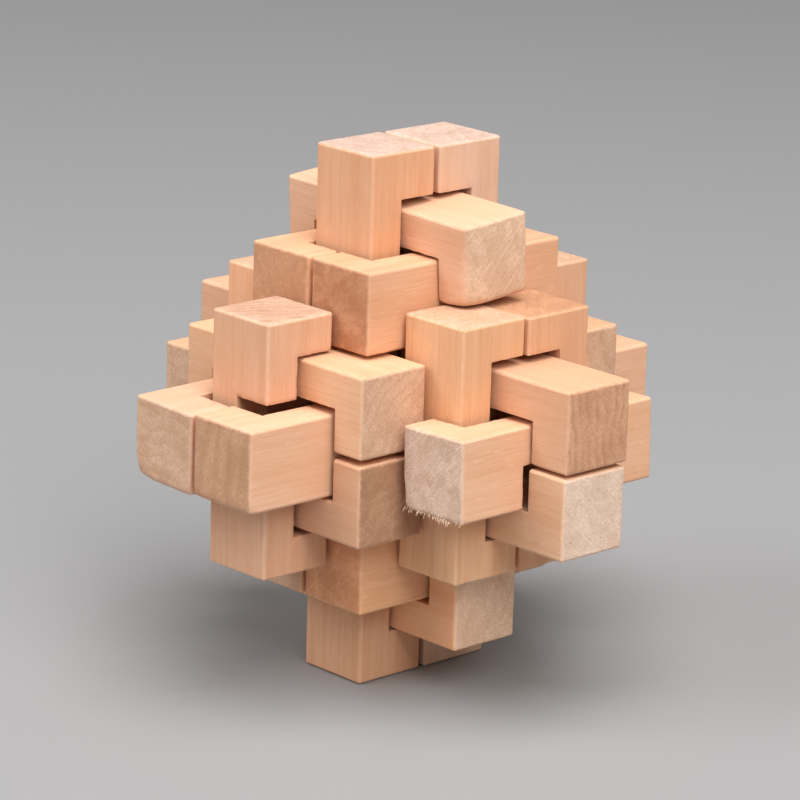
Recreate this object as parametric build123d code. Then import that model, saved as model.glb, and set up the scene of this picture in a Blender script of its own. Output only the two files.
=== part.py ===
from build123d import *
import math
import os

# A wooden burr puzzle: 24 loose square sticks that lock each other on a square lattice.
# Six long sticks lie in three crossed pairs through the middle, twelve short sticks hug
# them in six pairs, and six single short sticks lock the pairs at the six tips. Nearly
# every stick is a plain U: one notch, half the stick deep. Two of the singles have a
# second notch in one side. They are the keys: a long stick's end can slide past them.
# X points right, Y points back, Z points up. The origin is at the middle of the base.
# Millimetres.

# Driving dimensions
STICK = 11.0        # side of the square section that all the sticks are cut from
PLAY = 0.6          # gap between two faces that meet, so that the sticks slide by hand
LONG_END = 6.5      # solid block past the notch at each end of a long stick
KEY_SLACK = 0.4     # extra length of a key's side notch over the stick that passes it
EDGE = 0.4          # rounding of the sawn sticks' outer edges

# Worked out from them
STEP = (STICK + PLAY) / 2                       # half the pitch of the lattice
NOTCH = STEP                                    # depth of every notch, half a pitch
SHORT_LENGTH = 6 * STEP - PLAY                  # spans three sticks, side by side
SHORT_OPENING = 4 * STEP + PLAY                 # holds two sticks, side by side
LONG_OPENING = 10 * STEP + PLAY                 # holds five sticks, side by side
LONG_LENGTH = LONG_OPENING + 2 * LONG_END
KEY_OPENING = 2 * STEP + PLAY + KEY_SLACK       # lets one stick past
CUT = STICK                                     # how far a cutter stands out of a stick

# Directions, each with the words for its two ways
RIGHT = Vector(1, 0, 0)
FRONT = Vector(0, -1, 0)
UP = Vector(0, 0, 1)
WORDS = {
    "side": {1: "right", -1: "left"},
    "depth": {1: "front", -1: "back"},
    "height": {1: "top", -1: "bottom"},
}

# The three families of sticks: the way they lie, the way that their pairs open, and the
# way from one pair to the next. Each is the one before, turned about the cube's diagonal.
FAMILIES = {
    "upright": (UP, (FRONT, "depth"), (RIGHT, "side")),
    "lengthwise": (FRONT, (RIGHT, "side"), (UP, "height")),
    "crosswise": (RIGHT, (UP, "height"), (FRONT, "depth")),
}

# The keys, with the side that each one's second notch opens to
KEYS = {
    "key_upright_front": RIGHT,
    "key_lengthwise_right": -UP,
}

# How the loose sticks lie in their play: a shift to the right, back and up, in parts of
# the play. The upright pair stands on the base and the others hang a little down it.
SHIFTS = {
    "long_upright_front": (-0.3, 0, 0.8),
    "long_upright_back": (0, 0, 0.8),
    "long_lengthwise_right": (-0.4, -0.7, -0.3),
    "long_lengthwise_left": (-0.6, -0.5, -0.3),
    "long_crosswise_top": (0.4, 0.4, -0.8),
    "long_crosswise_bottom": (0.3, 0, -0.5),
    "short_upright_right_front": (0, 0, 0.1),
    "short_upright_right_back": (0, 0, -0.3),
    "short_crosswise_front_top": (-0.2, 0, 0.2),
    "short_crosswise_front_bottom": (-0.2, 0, 0),
    "lock_crosswise_top": (-0.5, 0, 0.65),
    "key_upright_front": (0.3, -0.2, -0.3),
    "key_lengthwise_right": (0.9, 0.4, -1.2),
}

# Turns about right, back and up, in parts of the tilt that takes up one play over one
# stick's width
TILT = math.degrees(PLAY / STICK)
TURNS = {
    "lock_crosswise_top": (1.5, 0.45, 0),
    "long_lengthwise_left": (0.12, 0.5, 0),
    "key_lengthwise_right": (0, -0.6, 0),
}


def stick(length, opening):
    """A stick along X with one wide notch in its underside, centred on the origin."""
    body = Box(length, STICK, STICK)
    body = fillet(body.edges(), EDGE)
    cutter = Box(opening, STICK + 2 * CUT, NOTCH + CUT)
    return body - Pos(0, 0, -STICK / 2 - CUT + (NOTCH + CUT) / 2) * cutter


def key_stick():
    """A short stick with a second notch, in the side that faces +Y."""
    cutter = Box(KEY_OPENING, NOTCH + CUT, STICK + 2 * CUT)
    place = Pos(0, STICK / 2 + CUT - (NOTCH + CUT) / 2, 0)
    return stick(SHORT_LENGTH, SHORT_OPENING) - place * cutter


def placed(shape, name, centre, along, outward):
    """The shape at a lattice point, its notch facing the way opposite to outward."""
    shift = Vector(*SHIFTS.get(name, (0, 0, 0))) * PLAY
    middle = centre * STEP + shift + UP * base_height()
    frame = Plane(origin=middle, x_dir=along, z_dir=outward)
    turn = [part * TILT for part in TURNS.get(name, (0, 0, 0))]
    lie = Pos(*middle) * Rotation(*turn) * Pos(*(-middle))
    return lie * (frame.location * shape)


def base_height():
    """From the base that the upright pair stands on to the middle of the lattice."""
    return LONG_LENGTH / 2 - SHIFTS["long_upright_front"][2] * PLAY


def sticks():
    """Every stick in its place, by name."""
    long_stick = stick(LONG_LENGTH, LONG_OPENING)
    short_stick = stick(SHORT_LENGTH, SHORT_OPENING)
    made = {}
    for family, (along, (pair, pair_words), (row, row_words)) in FAMILIES.items():
        for side in (1, -1):
            pair_word = WORDS[pair_words][side]
            outward = pair * side

            name = f"long_{family}_{pair_word}"
            made[name] = placed(long_stick, name, outward, along, outward)

            for level in (1, -1):
                name = f"short_{family}_{WORDS[row_words][level]}_{pair_word}"
                centre = outward + row * 3 * level
                made[name] = placed(short_stick, name, centre, along, outward)

            key = f"key_{family}_{pair_word}"
            if key in KEYS:
                # a right-handed frame puts the side notch on the side it opens to
                key_along = KEYS[key].cross(outward)
                made[key] = placed(key_stick(), key, outward * 4, key_along, outward)
            else:
                name = f"lock_{family}_{pair_word}"
                made[name] = placed(short_stick, name, outward * 4, along, outward)
    return made


os.makedirs("parts", exist_ok=True)
for name, shape in sticks().items():
    shape.label = name
    export_step(shape, f"parts/{name}.step")
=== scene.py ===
import math
import random

import bmesh
import bpy
from mathutils import Matrix, Vector


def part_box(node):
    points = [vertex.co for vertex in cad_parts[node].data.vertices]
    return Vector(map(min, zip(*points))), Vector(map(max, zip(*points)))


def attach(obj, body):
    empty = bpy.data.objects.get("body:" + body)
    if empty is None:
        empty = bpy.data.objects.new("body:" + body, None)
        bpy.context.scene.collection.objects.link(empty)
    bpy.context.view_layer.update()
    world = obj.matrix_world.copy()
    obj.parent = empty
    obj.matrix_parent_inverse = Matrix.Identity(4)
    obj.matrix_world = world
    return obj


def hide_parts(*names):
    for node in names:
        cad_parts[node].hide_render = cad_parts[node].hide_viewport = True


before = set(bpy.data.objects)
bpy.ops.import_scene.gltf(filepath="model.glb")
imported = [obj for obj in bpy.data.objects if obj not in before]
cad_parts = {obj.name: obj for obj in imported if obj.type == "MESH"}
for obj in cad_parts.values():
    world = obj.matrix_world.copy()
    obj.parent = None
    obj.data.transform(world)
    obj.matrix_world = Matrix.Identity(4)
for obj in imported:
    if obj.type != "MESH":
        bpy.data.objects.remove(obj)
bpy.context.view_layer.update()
bpy.ops.object.select_all(action="DESELECT")


# ---- Table, lamps and camera ---------------------------------------------------------
# The puzzle stands on a plain, pale, matt table. Three soft boxes light it, from above, from
# the right and, more weakly, from the front left. The camera looks a little down on the
# corner between the front and the right, through a long lens.
low, high = (Vector(corner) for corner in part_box("lock_lengthwise_left"))
middle = (low + high) / 2
heart = Vector((0, 0, middle.z))    # the middle of the puzzle

TABLE_WIDTH = 4.0
TABLE_GREY = (0.30, 0.30, 0.305, 1)

bpy.ops.mesh.primitive_plane_add(size=TABLE_WIDTH)
table_top = bpy.context.object
table_top.name = "table_top"
table_paint = bpy.data.materials.new("matt_table_paint")
table_paint.use_nodes = True
paint = table_paint.node_tree.nodes["Principled BSDF"]
paint.inputs["Base Color"].default_value = TABLE_GREY
paint.inputs["Roughness"].default_value = 0.9
table_top.data.materials.append(table_paint)


def soft_lamp(name, place, width, power, colour):
    """A square soft box at a place, turned to the middle of the puzzle."""
    bpy.ops.object.light_add(type="AREA", location=place)
    lamp = bpy.context.object
    lamp.name = name
    lamp.rotation_euler = (heart - Vector(place)).to_track_quat("-Z", "Y").to_euler()
    lamp.data.size = width
    lamp.data.energy = power
    lamp.data.color = colour


soft_lamp("overhead_lamp", (0.22, -0.12, 1.0), 0.7, 10.8, (1.0, 0.99, 0.98))
soft_lamp("right_lamp", (0.80, -0.28, 0.75), 0.6, 7.0, (1.0, 0.985, 0.97))
soft_lamp("left_lamp", (-0.35, -0.85, 0.70), 0.6, 5.6, (0.97, 0.98, 1.0))

WARM_WHITE = (1.0, 0.955, 0.90, 1)
ROOM_LIGHT = 0.24

room = bpy.data.worlds.new("pale_room")
room.use_nodes = True
walls = room.node_tree.nodes["Background"]
walls.inputs["Color"].default_value = WARM_WHITE
walls.inputs["Strength"].default_value = ROOM_LIGHT
bpy.context.scene.world = room
bpy.context.scene.view_settings.view_transform = "Standard"

AROUND = math.radians(46.73)    # from the front, towards the right
HEIGHT = math.radians(15.92)    # above the level of the puzzle's middle
LEAN = math.radians(1.70)       # rolled about the line of sight
DISTANCE = 0.5286
TO_THE_LEFT = 0.00032           # how far the camera is moved off the line to the middle
UPWARDS = 0.00076

level_part = math.cos(HEIGHT)
towards = Vector((level_part * math.sin(AROUND), -level_part * math.cos(AROUND), math.sin(HEIGHT)))
across = (-towards).cross(Vector((0, 0, 1))).normalized()
above = across.cross(-towards)
camera_place = heart - across * TO_THE_LEFT + above * UPWARDS + towards * DISTANCE
camera_right = across * math.cos(LEAN) + above * math.sin(LEAN)
camera_up = above * math.cos(LEAN) - across * math.sin(LEAN)
camera_axes = Matrix((camera_right, camera_up, towards)).transposed()

bpy.ops.object.camera_add()
camera = bpy.context.object
camera.name = "camera"
camera.data.lens = 179.4
camera.data.sensor_width = 36.0
camera.data.clip_start = 0.01
camera.matrix_world = Matrix.Translation(camera_place) @ camera_axes.to_4x4()
bpy.context.scene.camera = camera


# ---- The long sticks -----------------------------------------------------------------
# Six square sticks of bare, pale, close-grained hardwood, in three crossed pairs. Each
# was sawn from a strip, had one wide notch milled half through it, and was tumbled, so
# that its outer edges are soft and the edges of the notch are still crisp.
STICK = 0.011           # side of the square section that all the sticks have
NOTCH = 0.0058          # depth of every notch
LONG_LENGTH = 0.0716
LONG_OPENING = 0.0586   # width of a long stick's notch
LONG_GRID = 0.0005      # size of the cells that a long stick's faces are divided into
EASE = 0.00040          # radius of the soft outer edges
GROOVE = EASE * 1.25    # where the flat faces end, just inside the soft edges
CRISP = 0.00008         # how little the edges of the notches are broken
RAGGED = 0.00045        # how far the cutter tears the wood in from a notch's edge
SAWN = 0.0001           # how near to an end's plane a point counts as on the sawn end
HAIR = 1e-6             # two places nearer than this are the same

RIGHT = Vector((1, 0, 0))
BACK = Vector((0, 1, 0))
UP = Vector((0, 0, 1))


def pick(kind, wanted):
    """In edit mode, selects just the faces or edges that are wanted."""
    bpy.ops.mesh.select_mode(type=kind)
    bpy.ops.mesh.select_all(action="DESELECT")
    shape = bmesh.from_edit_mesh(bpy.context.object.data)
    shape.normal_update()
    parts = shape.faces if kind == "FACE" else shape.edges
    for part in parts:
        if wanted(part):
            part.select_set(True)
    bmesh.update_edit_mesh(bpy.context.object.data)


def middle_of(part):
    """The middle of an edge or a face."""
    return sum((corner.co for corner in part.verts), Vector()) / len(part.verts)


def start_bar(name, length, width):
    """A bar along X, as long as the stick, with the section that every notch leaves."""
    bpy.ops.object.select_all(action="DESELECT")
    bpy.ops.mesh.primitive_cube_add(size=1.0)
    bar = bpy.context.object
    bar.name = name
    bar["length"] = length
    bpy.ops.object.mode_set(mode="EDIT")
    bpy.ops.transform.resize(value=(length, width, STICK - NOTCH))
    bpy.ops.transform.translate(value=(0, (width - STICK) / 2, NOTCH / 2))
    return bar


def mark_across(direction, *places):
    """Marks lines round the stick at places along a direction, and at their mirror places."""
    for place in places:
        for way in (-1, 1):
            bpy.ops.mesh.select_all(action="SELECT")
            bpy.ops.mesh.bisect(plane_co=direction * way * place, plane_no=direction)


def pull(direction, beyond, depth):
    """Pulls out the faces that look in a direction and lie beyond a place along the bar."""
    def wanted(face):
        return face.normal.dot(direction) > 0.9 and abs(middle_of(face).x) > beyond

    pick("FACE", wanted)
    bpy.ops.mesh.extrude_region_move(TRANSFORM_OT_translate={"value": direction * depth})


def run_along(edge, direction):
    """The length of an edge that runs in a direction, or 0 if it runs another way."""
    run = edge.verts[1].co - edge.verts[0].co
    return run.length if abs(run.dot(direction)) > run.length * 0.99 else 0


def lay_grid(length, fine):
    """Divides every face into small, even cells, except for a rim by the outer edges."""
    mark_across(RIGHT, length / 2 - GROOVE)
    mark_across(BACK, STICK / 2 - GROOVE)
    mark_across(UP, STICK / 2 - GROOVE)
    for direction in (RIGHT, BACK, UP):
        shape = bmesh.from_edit_mesh(bpy.context.object.data)
        spans = {round(run_along(edge, direction), 6) for edge in shape.edges}
        for span in sorted(spans):
            if span < fine * 1.5 or abs(span - GROOVE) < HAIR:
                continue
            pick("EDGE", lambda edge: abs(run_along(edge, direction) - span) < HAIR)
            bpy.ops.mesh.subdivide(number_cuts=max(1, round(span / fine) - 1))


def near_outer_edge(edge, length):
    """Whether an edge of the mesh lies along one of the stick's soft outer edges."""
    reach = zip(middle_of(edge), (length / 2, STICK / 2, STICK / 2))
    return sorted(limit - abs(value) for value, limit in reach)[1] < EASE * 1.05


def ease_edges(length):
    """Rounds the outer edges as tumbling does, and just breaks those of the notches."""
    def outer(edge):
        reach = zip(middle_of(edge), (length / 2, STICK / 2, STICK / 2))
        return sum(abs(abs(value) - limit) < HAIR for value, limit in reach) >= 2

    def crisp(edge):
        return len(edge.link_faces) == 2 and edge.is_convex and edge.calc_face_angle() > 0.9

    def flat(face):
        return max(abs(part) for part in face.normal) > 0.9999

    def border(edge):
        return len(edge.link_faces) == 2 and flat(edge.link_faces[0]) != flat(edge.link_faces[1])

    pick("EDGE", outer)
    bpy.ops.mesh.bevel(offset=EASE, segments=4, affect="EDGES", clamp_overlap=False)
    pick("EDGE", crisp)
    bpy.ops.mesh.bevel(offset=CRISP, segments=2, affect="EDGES", clamp_overlap=False)
    pick("EDGE", lambda edge: border(edge) and not near_outer_edge(edge, length))
    bpy.ops.mesh.mark_sharp()
    bpy.ops.mesh.select_all(action="SELECT")
    bpy.ops.mesh.normals_make_consistent(inside=False)
    bpy.ops.object.mode_set(mode="OBJECT")
    bpy.ops.object.shade_smooth_by_angle(angle=math.radians(40), keep_sharp_edges=True)


def mark_wear(blank, notch_edges):
    """Marks where a stick wears, where its notches are torn, and which are its sawn ends."""
    length = blank["length"]
    worn = blank.vertex_groups.new(name="worn_edges")
    torn = blank.vertex_groups.new(name="torn_edges")
    sawn = blank.vertex_groups.new(name="sawn_ends")
    for corner in blank.data.vertices:
        x, y, z = corner.co
        gaps = sorted((length / 2 - abs(x), STICK / 2 - abs(y), STICK / 2 - abs(z)))
        if gaps[1] < EASE:
            worn.add([corner.index], 1 - max(gaps[1], 0) / EASE, "REPLACE")
        if length / 2 - abs(x) < SAWN:
            sawn.add([corner.index], 1.0, "REPLACE")
        near = min(math.hypot(*reach) for reach in notch_edges(x, y, z))
        if near < RAGGED:
            torn.add([corner.index], 1 - near / RAGGED, "REPLACE")


def one_notch(opening):
    """The distance from a point to the edges of a stick's single, wide notch."""
    def reaches(x, y, z):
        end = abs(abs(x) - opening / 2)
        side = STICK / 2 - abs(y)
        ceiling = abs(z - NOTCH + STICK / 2)
        inside = max(0, abs(x) - opening / 2)
        over = max(0, z - NOTCH + STICK / 2)
        return (end, side, over), (ceiling, side, inside), (end, z + STICK / 2)

    return reaches


def plain_blank(name, length, opening, fine):
    """A stick with one wide notch in its underside."""
    bar = start_bar(name, length, STICK)
    mark_across(RIGHT, opening / 2)
    pull(-UP, opening / 2, NOTCH)
    lay_grid(length, fine)
    ease_edges(length)
    mark_wear(bar, one_notch(opening))
    return bar


class Field:
    """A value that changes over the wood. Arithmetic on it adds Math nodes."""

    def __init__(self, wood, socket):
        self.wood = wood
        self.socket = socket

    def reckon(self, operation, *terms):
        return self.wood.node("Math", {"operation": operation}, dict(enumerate(terms)))

    def __add__(self, other):
        return self.reckon("ADD", self, other)

    def __radd__(self, other):
        return self.reckon("ADD", other, self)

    def __sub__(self, other):
        return self.reckon("SUBTRACT", self, other)

    def __rsub__(self, other):
        return self.reckon("SUBTRACT", other, self)

    def __mul__(self, other):
        return self.reckon("MULTIPLY", self, other)

    def __rmul__(self, other):
        return self.reckon("MULTIPLY", other, self)

    def __truediv__(self, other):
        return self.reckon("DIVIDE", self, other)

    def __rtruediv__(self, other):
        return self.reckon("DIVIDE", other, self)

    def __pow__(self, power):
        return self.reckon("POWER", self, power)

    def __abs__(self):
        return self.reckon("ABSOLUTE", self)

    def fraction(self):
        """What is left of it after its whole number is taken off."""
        return self.reckon("FRACT", self)

    def least(self, other):
        return self.reckon("MINIMUM", self, other)

    def most(self, other):
        return self.reckon("MAXIMUM", self, other)

    def rise(self, low, high):
        """0 below low, 1 above high, and smooth between."""
        values = {"Value": self, "From Min": low, "From Max": high}
        return self.wood.node("MapRange", {"interpolation_type": "SMOOTHSTEP"}, values)


class Wood:
    """The material of one stick, made node by node, with patterns that lie along it."""

    def __init__(self, name, centre, turn):
        self.material = bpy.data.materials.new(name)
        self.material.use_nodes = True
        self.tree = self.material.node_tree
        self.tree.nodes.clear()
        # millimetres from the stick's middle: along it, across it, and out from the notch
        place = self.node("TexCoord", {}, {}, "Object")
        values = {"Vector": place, "Location": centre, "Rotation": turn.to_euler(),
                  "Scale": (0.001, 0.001, 0.001)}
        self.point = self.node("Mapping", {"vector_type": "TEXTURE"}, values)

    def node(self, kind, settings, values, output=0):
        """Adds a node: its settings first, then the values or links of its sockets."""
        made = self.tree.nodes.new("ShaderNode" + kind)
        for setting, value in settings.items():
            setattr(made, setting, value)
        for socket, value in values.items():
            if isinstance(value, Field):
                self.tree.links.new(value.socket, made.inputs[socket])
            else:
                made.inputs[socket].default_value = value
        return Field(self, made.outputs[output]) if made.outputs else made

    def noise(self, stretch, shift, detail=2.0, rough=0.5, turn=(0, 0, 0)):
        """Noise from 0 to 1, with that many waves a millimetre along, across and out."""
        point = self.point
        if any(turn):
            point = self.node("Mapping", {}, {"Vector": point, "Rotation": turn})
        move = (shift, 3 * shift, 7 * shift)
        place = self.node("Mapping", {}, {"Vector": point, "Location": move, "Scale": stretch})
        values = {"Vector": place, "Scale": 1.0, "Detail": detail, "Roughness": rough}
        return self.node("TexNoise", {}, values)

    def blend(self, mask, below, above):
        """One colour over another where the mask says."""
        return self.node("Mix", {"data_type": "RGBA"}, {0: mask, 6: below, 7: above}, 2)


def tint(colour, red, green, blue):
    """A colour with its red, green and blue scaled."""
    return (min(colour[0] * red, 1), min(colour[1] * green, 1), min(colour[2] * blue, 1), 1)


def bare_wood(name, centre, turn, length, own):
    """Bare hardwood: growth rings round a far heart, fine fibres, pores, and sawn ends.
    Each blend lays a second tone over the first, as strongly as its mask says."""
    wood = Wood(name, centre, turn)
    seed = own["seed"]
    along, across, out = [wood.node("SeparateXYZ", {}, {0: wood.point}, axis) for axis in "XYZ"]

    # growth rings, a little wavy, round a heart that is outside the stick
    heart_across, heart_out = own["heart"]
    sway = wood.noise((0.02, 0.09, 0.09), seed + 1.7, 3.0)
    from_heart = ((across - heart_across) ** 2.0 + (out - heart_out) ** 2.0) ** 0.5
    years = (from_heart + along * own["slope"] + (sway - 0.5) * 8.0) / own["gap"]
    year = years.fraction()
    late = year.rise(0.35, 0.93) * (1.0 - year.rise(0.93, 1.0))
    late = late * wood.noise((0.02, 0.3, 0.3), seed + 5.1, 1.0).rise(0.25, 0.65)

    # along the stick: streaks, fibres, short pore lines, cloudy tone and bright flecks
    streak = wood.noise((0.018, 0.55, 0.55), seed + 12.6, 3.0, 0.6).rise(0.42, 0.66)
    fibre = wood.noise((0.05, 2.2, 2.2), seed + 2.3, 3.0, 0.65)
    pores = wood.noise((0.14, 5.5, 5.5), seed + 3.9, 2.0, 0.6).rise(0.52, 0.76)
    cloud = wood.noise((0.07, 0.18, 0.18), seed + 4.4, 3.0)
    fleck = wood.noise((0.50, 1.8, 6.0), seed + 6.6, 1.0).rise(0.62, 0.78)
    side = own["side"]
    colour = wood.blend(late * own["rings"], tint(side, 1, 1, 1), tint(side, 0.88, 0.76, 0.66))
    colour = wood.blend(cloud.rise(0.34, 0.70) * 0.80, colour, tint(side, 0.95, 0.87, 0.79))
    colour = wood.blend(streak * own["streaks"], colour, tint(side, 0.87, 0.73, 0.62))
    colour = wood.blend(fibre.rise(0.38, 0.72) * 0.50, colour, tint(side, 0.90, 0.79, 0.68))
    colour = wood.blend(pores * 0.34, colour, tint(side, 0.72, 0.55, 0.42))
    colour = wood.blend(fleck * 0.45, colour, tint(side, 1.08, 1.13, 1.18))

    # end grain, where the wood faces along the stick: blotches, speckle, pores, saw marks
    normal = wood.node("NewGeometry", {}, {}, "Normal")
    both = {0: normal, 1: turn @ RIGHT}
    facing = wood.node("VectorMath", {"operation": "DOT_PRODUCT"}, both, "Value")
    end = abs(facing).rise(0.55, 0.92)
    bloom = wood.noise((0.2, 0.24, 0.24), seed + 10.1, 4.0, 0.65)
    speckle = wood.noise((1.5, 2.6, 2.6), seed + 7.2, 4.0, 0.8)
    holes = wood.noise((2.0, 5.5, 5.5), seed + 8.8, 1.0).rise(0.55, 0.72)
    scratch = wood.noise((0.5, 0.30, 3.6), seed + 9.5, 2.0, 0.6, (own["saw"], 0, 0)).rise(0.52, 0.75)
    tip = own["end"]
    blotch = bloom.rise(0.38, 0.64) * own["blotches"]
    face = wood.blend(blotch, tint(tip, 1.10, 1.14, 1.18), tint(tip, 0.80, 0.72, 0.66))
    face = wood.blend(late * own["end_rings"], face, tint(tip, 0.74, 0.62, 0.52))
    face = wood.blend(speckle.rise(0.36, 0.66) * 0.62, face, tint(tip, 0.78, 0.70, 0.64))
    face = wood.blend(holes * 0.45, face, tint(tip, 0.56, 0.46, 0.38))
    face = wood.blend(scratch * own["scratches"], face, tint(tip, 1.22, 1.30, 1.38))
    colour = wood.blend(end, colour, face)

    # the soft outer edges made paler: partly rubbed wear, partly a painted highlight on the rounding
    half_mm = 500    # from a size in metres to half of it in millimetres
    gaps = [length * half_mm - abs(along), STICK * half_mm - abs(across), STICK * half_mm - abs(out)]
    second = gaps[0].least(gaps[1]).most(gaps[0].most(gaps[1]).least(gaps[2]))
    rub = wood.noise((0.8, 0.8, 0.8), seed + 11.3, 2.0)
    edge = (1.0 - second.rise(0.10, 0.55)) * rub.rise(0.30, 0.65)
    # painted highlight, mixed with rubbed wear, along the outer edges
    colour = wood.blend(edge * own["rim"], colour, tint(side, 1.08, 1.18, 1.30))

    rough = 0.60 + fibre * 0.12 + end * 0.16 - edge * 0.10 + pores * 0.10
    grain = fibre * 0.5 - pores * 0.35 + rub * 0.15
    relief = grain + end * (speckle * 0.7 - holes * 0.8 + scratch * 0.5)
    bump = wood.node("Bump", {}, {"Strength": 0.6, "Distance": 0.00006, "Height": relief})
    values = {"Base Color": colour, "Roughness": rough, "Normal": bump, "IOR": 1.45}
    shader = wood.node("BsdfPrincipled", {}, values)
    wood.node("OutputMaterial", {}, {"Surface": shader})
    return wood.material


def wear(stick, group, size, depth):
    """Takes up to a depth of wood off where a group says, in patches of about a size."""
    grain = bpy.data.textures.new("wear_pattern", "CLOUDS")
    grain.noise_scale = size
    grain.noise_depth = 2
    loss = stick.modifiers.new("wear", "DISPLACE")
    loss.texture = grain
    loss.texture_coords = "GLOBAL"
    loss.strength = depth
    loss.mid_level = 1.0
    loss.vertex_group = group
    bpy.ops.object.modifier_apply(modifier=loss.name)


def sand(stick, start, finish, reach, strokes):
    """Rubs one edge of a stick well down, from a start to a finish, as by sandpaper."""
    rubbed = stick.vertex_groups.new(name="sanded")
    run = finish - start
    for corner in stick.data.vertices:
        part = (corner.co - start).dot(run) / max(run.length_squared, HAIR ** 2)
        nearest = start + run * min(max(part, 0), 1)
        gap = (corner.co - nearest).length
        if gap < reach:
            rubbed.add([corner.index], 1 - gap / reach, "REPLACE")
    paper = stick.modifiers.new("sanding", "SMOOTH")
    paper.factor = 0.9
    paper.iterations = strokes
    paper.vertex_group = "sanded"
    bpy.ops.object.modifier_apply(modifier=paper.name)
    stick.vertex_groups.remove(stick.vertex_groups["sanded"])


def lie(about_right, about_back):
    """How a loose stick lies, turned a few degrees in its play."""
    turn = Matrix.Rotation(math.radians(about_right), 3, "X")
    return turn @ Matrix.Rotation(math.radians(about_back), 3, "Y")


def set_in(blank, node, body, along, outward, own):
    """Copies a blank to a stick's place, wears it a little, and gives it its own wood."""
    low, high = (Vector(corner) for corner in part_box(node))
    centre = (low + high) / 2
    turn = Matrix((along, outward.cross(along), outward)).transposed()
    if own["tilt"]:
        turn = own["tilt"] @ turn
    bpy.ops.object.select_all(action="DESELECT")
    blank.select_set(True)
    bpy.context.view_layer.objects.active = blank
    bpy.ops.object.duplicate()
    stick = bpy.context.object
    stick.name = node + "_stick"
    half = Vector((blank["length"], STICK, STICK)) / 2
    for start, finish, reach, strokes in own["sanded"]:
        sand(stick, Vector(start) * half, Vector(finish) * half, reach, strokes)
    stick.matrix_world = Matrix.Translation(centre) @ turn.to_4x4()
    bpy.ops.object.transform_apply(location=True, rotation=True, scale=True)
    wear(stick, "", 0.0090, 0.00006)
    wear(stick, "worn_edges", 0.0030, own["wear"])
    wear(stick, "torn_edges", 0.0006, own["tear"])
    wear(stick, "sawn_ends", 0.0005, 0.00005)
    wood = bare_wood(node + "_wood", centre, turn, blank["length"], own)
    stick.data.materials.append(wood)
    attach(stick, body)
    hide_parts(node)


def look(seed, side, end, heart, **rest):
    """What is particular to one stick: its colours, its rings, and how worn it is."""
    usual = {
        "seed": seed * 13.7,    # which part of every pattern it shows
        "side": side,           # colour of its long faces
        "end": end,             # colour of its end grain
        "heart": heart,         # the middle of its rings, in millimetres across and out
        "gap": 2.1,             # millimetres from ring to ring
        "slope": 0.02,          # how steeply the rings run out along it
        "rings": 0.35,          # how strongly each pattern shows, from 0 to 1
        "streaks": 0.35,
        "blotches": 0.55,
        "end_rings": 0.35,
        "scratches": 0.25,
        # rim: how pale the outer edges are painted, partly wear and partly a painted highlight
        "rim": 0.30,
        "saw": 0.8,             # the way that the saw marks run, in radians
        "wear": 0.00018,        # the most that its outer edges have lost
        "tear": 0.00012,        # the most that the edges of its notches have lost
        "sanded": (),           # rubbed edges: start and finish in half sizes, reach, strokes
        "tilt": None,           # how it lies, if it lies askew
    }
    usual.update(rest)
    return usual


PEACH = (0.745, 0.445, 0.290)
HONEY = (0.765, 0.445, 0.275)
PALE = (0.765, 0.485, 0.345)
BROWN_END = (0.60, 0.315, 0.175)
GREY_END = (0.68, 0.430, 0.285)
PALE_END = (0.62, 0.445, 0.360)

long_blank = plain_blank("long_blank", LONG_LENGTH, LONG_OPENING, LONG_GRID)
for node, body, along, outward, own in (
    ("long_upright_front", "root", UP, -BACK,
     look(1, (0.755, 0.430, 0.260), PALE_END, (-14, 30), rings=0.2, streaks=0.45)),
    ("long_upright_back", "root", UP, BACK,
     look(2, (0.79, 0.530, 0.390), PALE_END, (25, 18), rings=0.25)),
    ("long_lengthwise_right", "sliding_long_lengthwise", -BACK, RIGHT,
     look(3, (0.81, 0.490, 0.325), (0.60, 0.335, 0.200), (12, 40), end_rings=0.5, gap=2.6,
          sanded=[((1, 1, -1), (1, 1, 1), 0.0016, 30)])),
    ("long_lengthwise_left", "root", -BACK, -RIGHT,
     look(4, PALE, GREY_END, (40, -5), end_rings=0.45, tilt=lie(0.375, 1.5625),
          sanded=[((1, -1, -1), (1, -1, 1), 0.0015, 30), ((1, -1, 1), (1, -1, 1), 0.0035, 60)])),
    ("long_crosswise_top", "root", RIGHT, UP,
     look(5, PEACH, (0.65, 0.355, 0.210), (60, 6), gap=1.5, end_rings=0.75)),
    ("long_crosswise_bottom", "sliding_long_crosswise", RIGHT, -UP,
     look(6, (0.77, 0.480, 0.310), (0.82, 0.610, 0.475), (20, 34), end_rings=0.2)),
):
    set_in(long_blank, node, body, along, outward, own)
bpy.data.objects.remove(long_blank)


# ---- The short sticks ----------------------------------------------------------------
# Twelve sticks from the same strips, each with a notch as wide as two sticks. They sit in
# six pairs, back to back, astride the long sticks and at right angles to the next pair.
SHORT_LENGTH = 0.0342
SHORT_OPENING = 0.0238
SHORT_GRID = 0.0004

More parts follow.
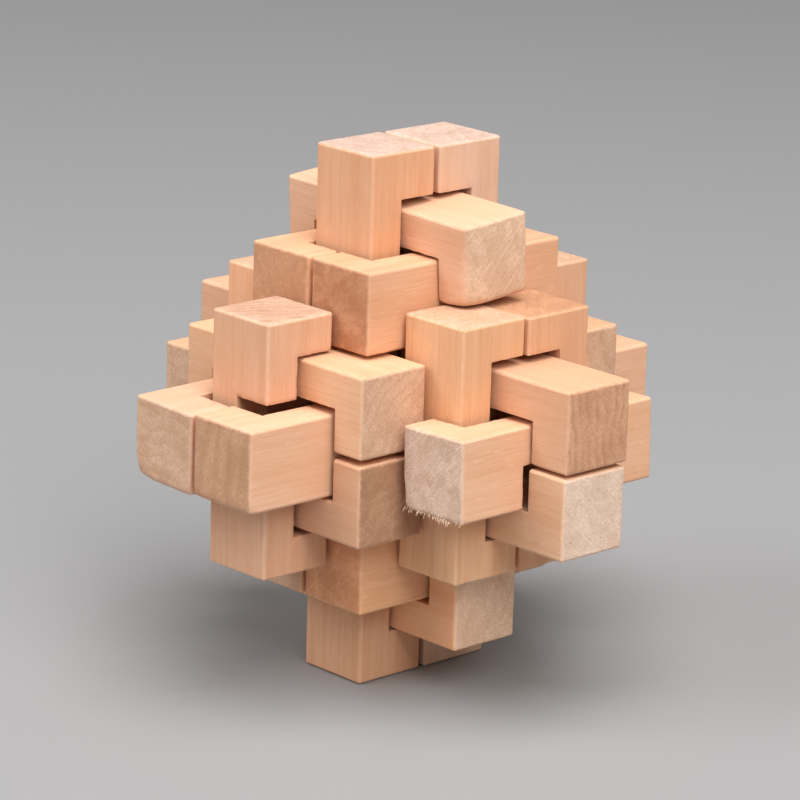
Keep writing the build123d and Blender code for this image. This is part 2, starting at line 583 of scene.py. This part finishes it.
short_blank = plain_blank("short_blank", SHORT_LENGTH, SHORT_OPENING, SHORT_GRID)
for node, along, outward, own in (
    ("short_upright_right_front", UP, -BACK,
     look(11, (0.80, 0.480, 0.285), GREY_END, (-30, 8), rings=0.5, streaks=0.5)),
    ("short_upright_right_back", UP, BACK, look(12, HONEY, BROWN_END, (18, 24), rings=0.6)),
    # this stick's side colour is made brighter than HONEY as painted light, to lift shade
    ("short_upright_left_front", UP, -BACK, look(13, (0.86, 0.500, 0.305), GREY_END, (9, 33))),
    ("short_upright_left_back", UP, BACK, look(14, PEACH, GREY_END, (-22, 12))),
    ("short_lengthwise_top_right", -BACK, RIGHT,
     look(15, HONEY, (0.58, 0.285, 0.155), (26, 20), end_rings=0.5, blotches=0.95)),
    ("short_lengthwise_top_left", -BACK, -RIGHT, look(16, HONEY, BROWN_END, (-12, 28))),
    ("short_lengthwise_bottom_right", -BACK, RIGHT,
     look(17, (0.83, 0.465, 0.265), (0.86, 0.430, 0.225), (-28, 16), tear=0.0004, blotches=0.9)),
    ("short_lengthwise_bottom_left", -BACK, -RIGHT, look(18, HONEY, GREY_END, (31, 4))),
    ("short_crosswise_front_top", RIGHT, UP, look(19, (0.80, 0.490, 0.310), GREY_END, (24, -18))),
    ("short_crosswise_front_bottom", RIGHT, -UP,
     look(20, PEACH, (0.46, 0.255, 0.150), (-16, 22), blotches=0.9)),
    ("short_crosswise_back_top", RIGHT, UP, look(21, HONEY, GREY_END, (35, 10))),
    ("short_crosswise_back_bottom", RIGHT, -UP, look(22, PEACH, GREY_END, (8, -36))),
):
    set_in(short_blank, node, "root", along, outward, own)


# ---- The lock sticks -----------------------------------------------------------------
# Four more of the same short sticks, one at each of four tips, across the pair of long
# sticks there. The one at the top hangs loose on its neighbours, rolled and drooping.
for node, along, outward, own in (
    ("lock_crosswise_top", RIGHT, UP,
     look(31, (0.80, 0.500, 0.340), (0.80, 0.540, 0.370), (30, 22), saw=-0.7, scratches=0.5,
          sanded=[((1, -1, -1), (1, -1, 0.3), 0.0035, 90), ((1, -1, -1), (1, 1, -1), 0.0015, 30)],
          tilt=lie(4.69, 1.41))),
    ("lock_crosswise_bottom", RIGHT, -UP,
     look(32, (0.92, 0.515, 0.290), (0.94, 0.630, 0.440), (-25, 14))),
    ("lock_upright_back", UP, BACK, look(33, PEACH, GREY_END, (17, 29))),
    ("lock_lengthwise_left", -BACK, -RIGHT, look(34, HONEY, GREY_END, (-33, 7))),
):
    set_in(short_blank, node, "root", along, outward, own)
bpy.data.objects.remove(short_blank)


# ---- The keys ------------------------------------------------------------------------
# Two short sticks with a second notch in one side, which lets a long stick slide past. The
# front end of the one at the right is greyer than the rest, and furred and torn by the saw.
KEY_OPENING = 0.0126    # width of a key's side notch
KEY_GRID = 0.0003

key_blank = start_bar("key_blank", SHORT_LENGTH, STICK - NOTCH)
mark_across(RIGHT, KEY_OPENING / 2, SHORT_OPENING / 2)
pull(BACK, KEY_OPENING / 2, NOTCH)
pull(-UP, SHORT_OPENING / 2, NOTCH)
lay_grid(SHORT_LENGTH, KEY_GRID)
ease_edges(SHORT_LENGTH)


def two_notches(x, y, z):
    """The distance from a point to the edges of both of a key's notches."""
    end = abs(abs(x) - KEY_OPENING / 2)
    side = abs(y - STICK / 2 + NOTCH)
    inside = max(0, abs(x) - KEY_OPENING / 2)
    deep = max(0, STICK / 2 - NOTCH - y)
    second = (end, STICK / 2 - abs(z), deep), (end, STICK / 2 - y), (side, STICK / 2 - z, inside)
    return one_notch(SHORT_OPENING)(x, y, z) + second


mark_wear(key_blank, two_notches)
for node, body, along, outward, own in (
    ("key_upright_front", "front_key", -UP, -BACK,
     look(41, PEACH, (0.61, 0.385, 0.270), (38, 30), gap=1.7, end_rings=0.95, rings=0.5,
          tear=0.0003, rim=0.6)),
    ("key_lengthwise_right", "right_key", -BACK, RIGHT,
     look(42, (0.81, 0.495, 0.325), (0.70, 0.505, 0.385), (-20, 44), end_rings=0.2,
          scratches=0.45, saw=0.75, tear=0.0002, blotches=0.75, tilt=lie(0, -1.875),
          sanded=[((1, 0.6, -1), (1, 1, -1), 0.0020, 40), ((1, 1, -1), (1, 1, 1), 0.0010, 12)])),
):
    set_in(key_blank, node, body, along, outward, own)
bpy.data.objects.remove(key_blank)


# ---- The torn fibres of the keys -----------------------------------------------------
# Where the saw came out under the front end of the key at the right, it left a fringe of
# torn fibres, thin, pointed and still grown to the stick. The key at the front has a few.
FIBRE_LENGTH = 0.001
FIBRE_ROOT = 0.00005      # radius where it grows out of the stick
FIBRE_TIP = 0.000012
CURL = 0.00006            # how far each quarter of it is bent to one side
STAND_OUT = 0.0004        # from the wood to the middle of a fibre of full length
INSET = 0.0002            # how far inside a key's box the fringe starts

bpy.ops.object.select_all(action="DESELECT")
bpy.ops.mesh.primitive_cone_add(vertices=5, radius1=FIBRE_ROOT, radius2=FIBRE_TIP, depth=FIBRE_LENGTH)
fibre_blank = bpy.context.object
bpy.ops.object.mode_set(mode="EDIT")
pick("EDGE", lambda edge: abs(edge.verts[0].co.z - edge.verts[1].co.z) > FIBRE_LENGTH * 0.9)
bpy.ops.mesh.subdivide(number_cuts=3)
for level in (-FIBRE_LENGTH / 4, 0.0, FIBRE_LENGTH / 4):
    pick("FACE", lambda face: middle_of(face).z > level)
    bpy.ops.transform.translate(value=(CURL, 0, 0))
bpy.ops.object.mode_set(mode="OBJECT")
bpy.ops.object.shade_smooth()
fibre_wood = Wood("torn_fibre", (0, 0, 0), Matrix.Identity(3))
paleness = fibre_wood.noise((2.0, 2.0, 2.0), 3.3, 2.0)
fibre_colour = fibre_wood.blend(paleness.rise(0.3, 0.7), (0.74, 0.50, 0.34, 1), (0.88, 0.72, 0.58, 1))
fibre_shader = fibre_wood.node("BsdfPrincipled", {}, {"Base Color": fibre_colour, "Roughness": 0.8})
fibre_wood.node("OutputMaterial", {}, {"Surface": fibre_shader})
fibre_blank.data.materials.append(fibre_wood.material)


def fringe(stick, start, finish, up_face, count, longest, seed):
    """Grows torn fibres along a stick's lower front edge, and a little way up from it."""
    chance = random.Random(seed)
    fibres = []
    for _ in range(count):
        place = start.lerp(finish, chance.random() ** 0.8) + up_face * chance.random() ** 2
        way = Vector((chance.uniform(-0.6, 0.6), 0, -1)) - BACK * chance.uniform(0.05, 0.7)
        size = longest * chance.uniform(0.25, 1.0) ** 1.5
        bpy.ops.object.select_all(action="DESELECT")
        fibre_blank.select_set(True)
        bpy.context.view_layer.objects.active = fibre_blank
        bpy.ops.object.duplicate()
        fibre = bpy.context.object
        turn = way.to_track_quat("Z", "X").to_matrix().to_4x4()
        spin = Matrix.Rotation(chance.uniform(0, 6.28), 4, "Z")
        half_way = place + way.normalized() * size * STAND_OUT
        fibre.matrix_world = Matrix.Translation(half_way) @ turn @ spin
        fibre.scale = (1, 1, size)
        fibres.append(fibre)
    bpy.ops.object.select_all(action="DESELECT")
    for fibre in fibres:
        fibre.select_set(True)
    bpy.context.view_layer.objects.active = fibres[0]
    bpy.ops.object.transform_apply(location=True, rotation=True, scale=True)
    stick.select_set(True)
    bpy.context.view_layer.objects.active = stick
    bpy.ops.object.join()


right_key = bpy.data.objects["key_lengthwise_right_stick"]
low, high = (Vector(corner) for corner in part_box("key_lengthwise_right"))
left_end = Vector((low.x + 0.0003, low.y + INSET, low.z + INSET))
right_end = Vector((high.x - INSET, low.y + INSET, low.z + INSET))
fringe(right_key, left_end, right_end, UP * 0.0012, count=110, longest=0.9, seed=11)
front_key = bpy.data.objects["key_upright_front_stick"]
low, high = (Vector(corner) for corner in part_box("key_upright_front"))
corner = Vector((high.x - 0.0003, low.y + 0.0003, low.z + 0.0003))
fringe(front_key, corner - RIGHT * 0.0012, corner, UP * 0.0002, count=14, longest=0.35, seed=12)
bpy.data.objects.remove(fibre_blank)
